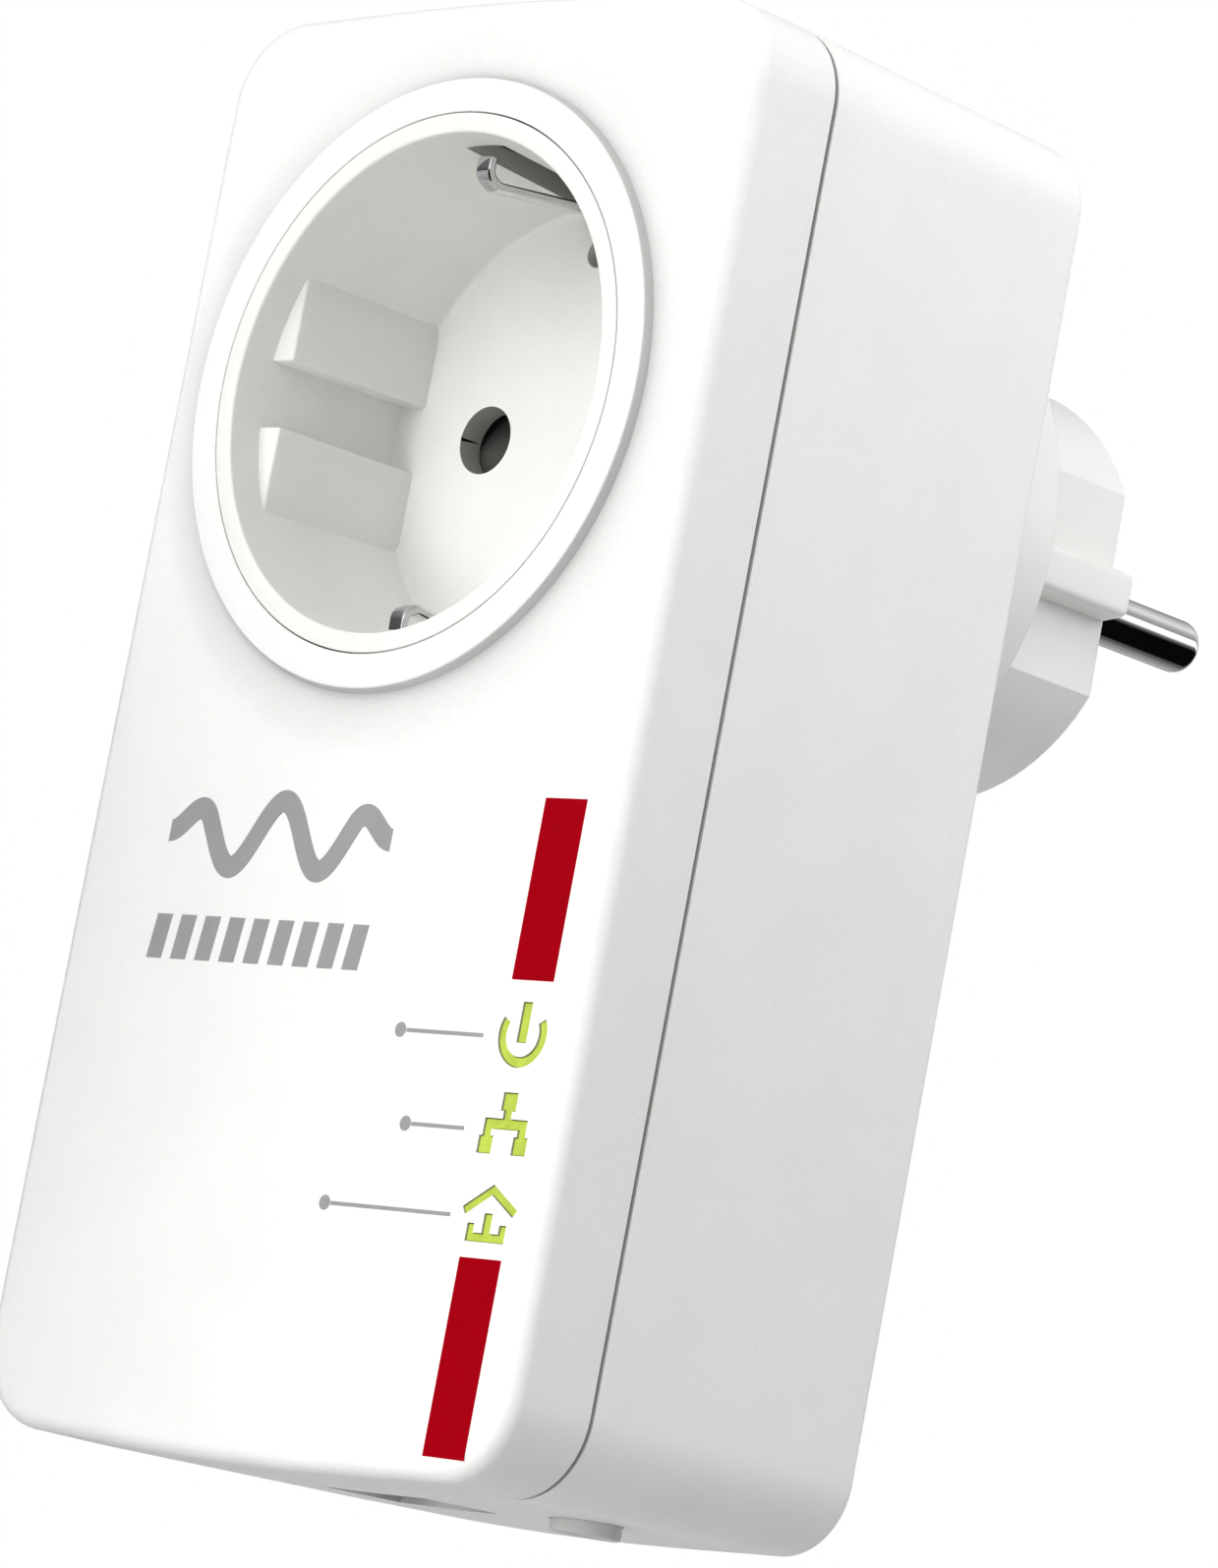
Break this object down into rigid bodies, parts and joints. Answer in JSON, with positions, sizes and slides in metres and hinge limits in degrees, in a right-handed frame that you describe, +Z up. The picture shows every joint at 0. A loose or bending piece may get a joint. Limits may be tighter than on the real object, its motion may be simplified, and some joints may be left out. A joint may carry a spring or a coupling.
{
  "type": "powerline adapter",
  "caption": "Tall wall-plug network adapter with a through socket, side status icons, a network port and a pairing button underneath.",
  "frame": {"origin": "On the common axis of the socket and the plug, in the plane of the housing's rear face.", "axes": "+Z up as the adapter hangs on the wall, +Y towards the wall along the plug pins, +X to the right seen from the front; the front faces -Y."},
  "size_m": [0.0634, 0.0901, 0.1247],
  "materials": {
    "shell_white": "fine spark-eroded texture, matt",
    "socket_white": "smooth satin",
    "plug_white": "smooth satin",
    "carrier_white": "smooth",
    "shutter_grey": "smooth",
    "nickel": "polished nickel plate",
    "spring_steel": "drawn wire",
    "screw_steel": "zinc plated",
    "contact_brass": "stamped",
    "guide_green": "tinted translucent",
    "led_clear": "clear lens",
    "button_grey": "smooth",
    "board_green": "solder mask",
    "black_moulding": "moulded epoxy",
    "shield_tin": "tinned steel",
    "contact_gold": "gold flash",
    "ferrite": "pressed ferrite",
    "tape_yellow": "polyester tape",
    "choke_copper": "enamelled wire",
    "film_yellow": "moulded case",
    "varistor_blue": "dipped epoxy",
    "fuse_brown": "moulded case",
    "can_black": "shrink sleeve",
    "crystal_can": "drawn can",
    "wire_brown": "insulation",
    "wire_blue": "insulation"
  },
  "bodies": {
    "adapter": {"front_shell": "shell_white", "rear_shell": "shell_white", "housing_screws": "screw_steel", "socket_insert": "socket_white", "contact_carrier": "carrier_white", "socket_screws": "screw_steel", "shutter_spring": "spring_steel", "socket_contact_left": "contact_brass", "socket_contact_right": "contact_brass", "earth_strap": "nickel", "plug_body": "plug_white", "plug_pin_left": "nickel", "plug_pin_right": "nickel", "plug_earth_top": "nickel", "plug_earth_bottom": "nickel", "light_guide_power": "guide_green", "light_guide_lan": "guide_green", "light_guide_home": "guide_green", "status_leds": "led_clear", "tact_switch": "black_moulding", "main_board": "board_green", "lan_jack_housing": "black_moulding", "lan_jack_shield": "shield_tin", "lan_magnetics": "black_moulding", "modem_chip": "black_moulding", "memory_chip": "black_moulding", "crystal": "crystal_can", "coupling_transformer": "ferrite", "filter_choke": "choke_copper", "x_capacitor": "film_yellow", "fuse": "fuse_brown", "varistor": "varistor_blue", "bridge_rectifier": "black_moulding", "bulk_capacitor": "can_black", "power_controller": "black_moulding", "flyback_core": "ferrite", "flyback_winding": "tape_yellow", "output_capacitor": "can_black", "line_wire": "wire_brown", "neutral_wire": "wire_blue"},
    "shutter": {"shutter": "shutter_grey"},
    "pairing_button": {"pairing_button": "button_grey"},
    "switch_plunger": {"switch_plunger": "black_moulding"},
    "earth_clip_top": {"earth_clip_top": "nickel"},
    "earth_clip_bottom": {"earth_clip_bottom": "nickel"},
    "jack_contacts": {"lan_jack_contacts": "contact_gold"}
  },
  "joints": [
    {"name": "shutter_slide", "type": "slide", "parent": "adapter", "child": "shutter", "axis": [0, 0, -1], "range_m": [0, 0.0062], "stiffness_N_per_m": 120, "springref_m": -0.003, "deforming": ["shutter_spring"]},
    {"name": "button_press", "type": "slide", "parent": "adapter", "child": "pairing_button", "axis": [0, 0, 1], "range_m": [0, 0.0005], "stiffness_N_per_m": 900, "springref_m": -0.0002},
    {"name": "plunger_press", "type": "slide", "parent": "adapter", "child": "switch_plunger", "axis": [0, 0, 1], "range_m": [0, 0.0005]},
    {"name": "clip_top_flex", "type": "hinge", "parent": "adapter", "child": "earth_clip_top", "pos_m": [0, -0.0222, 0.0206], "axis": [-1, 0, 0], "range_deg": [0, 4], "stiffness_Nm_per_rad": 0.6},
    {"name": "clip_bottom_flex", "type": "hinge", "parent": "adapter", "child": "earth_clip_bottom", "pos_m": [0, -0.0222, -0.0206], "axis": [1, 0, 0], "range_deg": [0, 4], "stiffness_Nm_per_rad": 0.6},
    {"name": "jack_contacts_flex", "type": "hinge", "parent": "adapter", "child": "jack_contacts", "pos_m": [0.0036, -0.01986, -0.0749], "axis": [1, 0, 0], "range_deg": [0, 8], "stiffness_Nm_per_rad": 0.02}
  ],
  "couplings": [
    {"joint": "plunger_press", "follows": "button_press", "ratio": 1}
  ]
}
